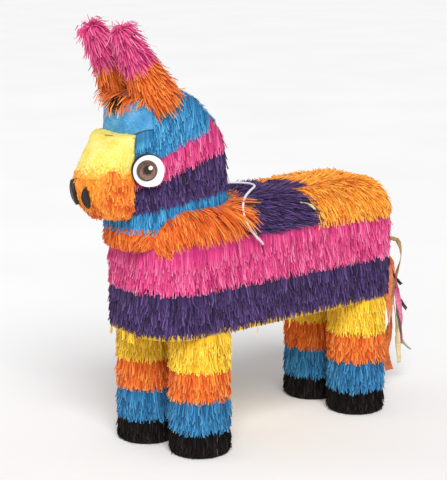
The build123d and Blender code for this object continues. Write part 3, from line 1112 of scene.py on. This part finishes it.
streamers = (
    # tone, width, turns, points in mm
    ("olive", 8.0, 0.8, (
        (6, 197, 200), (6, 218, 207), (7, 243, 212), (8, 260, 197), (9, 259, 174), (8, 250, 156), (8, 243, 140),
        (6, 238, 124)
    )),
    ("orange", 17.0, 0.7, (
        (10, 197, 196), (12, 222, 190), (10, 236, 174), (8, 242, 150), (8, 247, 120), (8, 248, 92),
        (9, 241, 66), (10, 229, 56), (10, 232, 44), (9, 238, 26)
    )),
    ("orange", 18.0, 0.5, (
        (14, 197, 190), (16, 214, 182), (17, 228, 162), (16, 232, 130), (15, 236, 100), (14, 235, 78),
        (12, 226, 64), (12, 220, 52)
    )),
    ("pink", 11.0, 0.9, (
        (4, 197, 202), (6, 230, 198), (8, 245, 176), (8, 250, 140), (8, 256, 106), (8, 259, 84), (8, 259, 58)
    )),
    ("dark", 7.0, 0.5, (
        (2, 197, 196), (4, 228, 182), (8, 246, 156), (10, 257, 143)
    )),
    ("dark", 7.0, 0.6, (
        (2, 197, 190), (4, 236, 162), (6, 252, 134), (8, 256, 120), (8, 269, 105)
    )),
    ("green", 8.5, 1.2, (
        (0, 197, 198), (2, 232, 182), (4, 250, 130), (6, 258, 92), (8, 261, 66), (8, 270, 57), (8, 281, 48)
    )),
    ("cream", 9.5, 0.9, (
        (-4, 197, 200), (-2, 234, 178), (2, 248, 120), (5, 255, 78), (8, 256, 55), (8, 261, 30)
    )),
    ("yellow", 9.0, 1.1, (
        (-8, 197, 202), (-10, 228, 192), (-12, 242, 150), (-10, 245, 110), (-12, 247, 80), (-10, 249, 56)
    )),
    ("pink", 9.0, 1.3, (
        (-12, 197, 200), (-14, 222, 188), (-15, 234, 150), (-14, 239, 110), (-14, 237, 84), (-15, 245, 60)
    )),
    ("orange", 14.0, 0.8, (
        (-6, 197, 194), (-8, 220, 178), (-8, 232, 140), (-6, 238, 100), (-8, 233, 70), (-6, 239, 44)
    )),
)
# each: crease hollows (painted shade), the paper, ridges (painted highlight)
streamerTones = {
    "olive": ((0.16, 0.09, 0.03), (0.36, 0.22, 0.08), (0.58, 0.42, 0.20)),
    "orange": ((0.50, 0.08, 0.02), (0.82, 0.22, 0.06), (0.95, 0.44, 0.16)),
    "pink": ((0.40, 0.04, 0.14), (0.72, 0.14, 0.30), (0.88, 0.36, 0.46)),
    "green": ((0.12, 0.17, 0.12), (0.26, 0.33, 0.24), (0.44, 0.50, 0.38)),
    "yellow": ((0.72, 0.42, 0.03), (0.94, 0.65, 0.08), (1.0, 0.82, 0.30)),
    "cream": ((0.55, 0.44, 0.18), (0.80, 0.70, 0.38), (0.92, 0.86, 0.60)),
    "dark": ((0.02, 0.012, 0.012), (0.045, 0.03, 0.025), (0.09, 0.06, 0.05)),
}
paperCurl = ((64, 22, 293), (69, 31, 292), (73, 38, 289), (70, 45, 279))


def splineThrough(points, samples):
    line = bpy.data.curves.new("route", "CURVE")
    line.dimensions = "3D"
    spline = line.splines.new("NURBS")
    spline.points.add(len(points) - 1)
    for spot, place in zip(spline.points, points):
        spot.co = (*(Vector(place) * mm), 1)
    spline.order_u = 4
    spline.use_endpoint_u = True
    spline.resolution_u = 12
    holder = bpy.data.objects.new("route", line)
    mesh = bpy.data.meshes.new_from_object(holder)
    chain = [vert.co.copy() for vert in mesh.vertices]
    bpy.data.objects.remove(holder)
    bpy.data.curves.remove(line)
    bpy.data.meshes.remove(mesh)
    return resampled(chain, samples)


def ribbon(bm, chain, width, turns, seed, ink):
    # a strip of crepe that twists along its chain, cupped and ruffled
    samples = len(chain) - 1
    grid = bmesh.ops.create_grid(bm, x_segments=4, y_segments=samples, size=0.5)
    verts = sorted(grid["verts"], key=lambda vert: (round(vert.co.y, 5), vert.co.x))
    for face in {face for vert in verts for face in vert.link_faces}:
        face.material_index = ink
    for step, point in enumerate(chain):
        along = (chain[min(step + 1, samples)] - chain[max(step - 1, 0)]).normalized()
        side = along.cross(Vector((0.6, 0.8, 0))).normalized()
        if abs(side.z) > 0.7:
            side = Vector((0.77, -0.63, 0))
        side = (side - along * side.dot(along)).normalized()
        lift = side.cross(along)
        angle = turns * 2 * math.pi * step / samples + seed * 0.4
        pinch = 0.85 + 0.3 * noise.noise(Vector((step * 0.13, seed * 5.0, 0)))
        for column in range(5):
            share = column / 2 - 1
            bend = angle + share * 0.6
            reach = share * width * 0.5 * pinch
            curl = (1 - share * share) * width * 0.16
            spot = side * math.cos(bend) * reach + lift * math.sin(bend) * reach
            spot += (lift * math.cos(angle) - side * math.sin(angle)) * curl
            ruffle = noise.noise(Vector((step * 0.5, column * 1.7, seed * 3.0))) * 0.8
            verts[step * 5 + column].co = point + (spot + lift * ruffle) * mm


def makeTail():
    tones = list(streamerTones)
    papers = [crepePaper("streamer_" + tone, streamerTones[tone], (180.0, 180.0, 180.0)) for tone in tones]
    bm = bmesh.new()
    for seed, (tone, width, turns, points) in enumerate(streamers):
        ribbon(bm, splineThrough(points, 60), width, turns, seed, tones.index(tone))
    tail = addPiece(bm, "tail_bunch", papers, smooth=True, thickness=0.0003)
    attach(tail, "tail")
    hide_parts("tail_streamers")
    bm = bmesh.new()
    ribbon(bm, splineThrough(paperCurl, 14), 4.5, 0.3, 2, 0)
    curl = addPiece(bm, "paper_curl", [papers[tones.index("cream")]], smooth=True, thickness=0.0003)
    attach(curl, "pinata")
    say("tail made")


# hanging cord

cordHalf = (
    (60.0, -38.0, 250.0),
    (72.0, -44.0, 251.5),
    (81.0, -54.0, 258.0),
    (81.5, -67.0, 269.5),
    (77.0, -75.0, 284.0),
    (65.0, -71.0, 298.0),
    (48.0, -54.0, 307.0),
    (31.0, -30.0, 310.5),
    (12.0, -4.0, 311.0),
)


def makeCord():
    line = bpy.data.curves.new("hanging_cord", "CURVE")
    line.dimensions = "3D"
    spline = line.splines.new("NURBS")
    route = list(cordHalf) + [(-x, y, z) for x, y, z in reversed(cordHalf)]
    spline.points.add(len(route) - 1)
    for spot, place in zip(spline.points, route):
        spot.co = (*(Vector(place) * mm), 1)
    spline.order_u = 3
    spline.use_endpoint_u = True
    spline.resolution_u = 10
    line.bevel_depth = 1.5 * mm
    line.bevel_resolution = 4
    line.use_fill_caps = True
    line.materials.append(twistedString("white_string"))
    cord = bpy.data.objects.new("hanging_cord", line)
    bpy.context.scene.collection.objects.link(cord)
    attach(cord, "pinata")
    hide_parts("hang_cord")
    say("cord laid")


# bare card, soles, knots and belly paper keep their shape


def finishCard():
    special = {
        "foot_caps": printedCard("black_sole", (0.008, 0.006, 0.006), gloss=0.85, grain=0.3),
        "cord_knots": twistedString("knot_string"),
        "belly_paper": wraps["gold"],
    }
    bare = ("_panel", "_tube", "_cap", "_shell", "_cone", "fill_flap")
    for name, node in nodes.items():
        material = special.get(name) or (card if name.endswith(bare) else None)
        if material:
            node.data.materials.clear()
            node.data.materials.append(material)
    say("card finished")


def layFloor():
    bm = bmesh.new()
    bmesh.ops.create_grid(bm, x_segments=2, y_segments=2, size=14.0)
    finish = Finish("pale_floor", roughness=0.9, specular=0.1)
    finish.paint(finish.ramp(finish.cloud(3.0, 2.0), ((0.3, (0.90, 0.90, 0.90)), (0.7, (0.93, 0.93, 0.93)))))
    floor = addPiece(bm, "floor", [finish.material])


setCamera(shot)
lightStudio(studio)
layFloor()
makeCord()
coverSides()
coverLegs()
coverNeck()
coverCollar()
coverSaddle()
coverRump()
coverFlap()
coverEars()
wrapMuzzle()
coverNose()
shadeEarGap()
wrapForehead()
makeEyes()
makeNostrils()
makeTail()
finishCard()
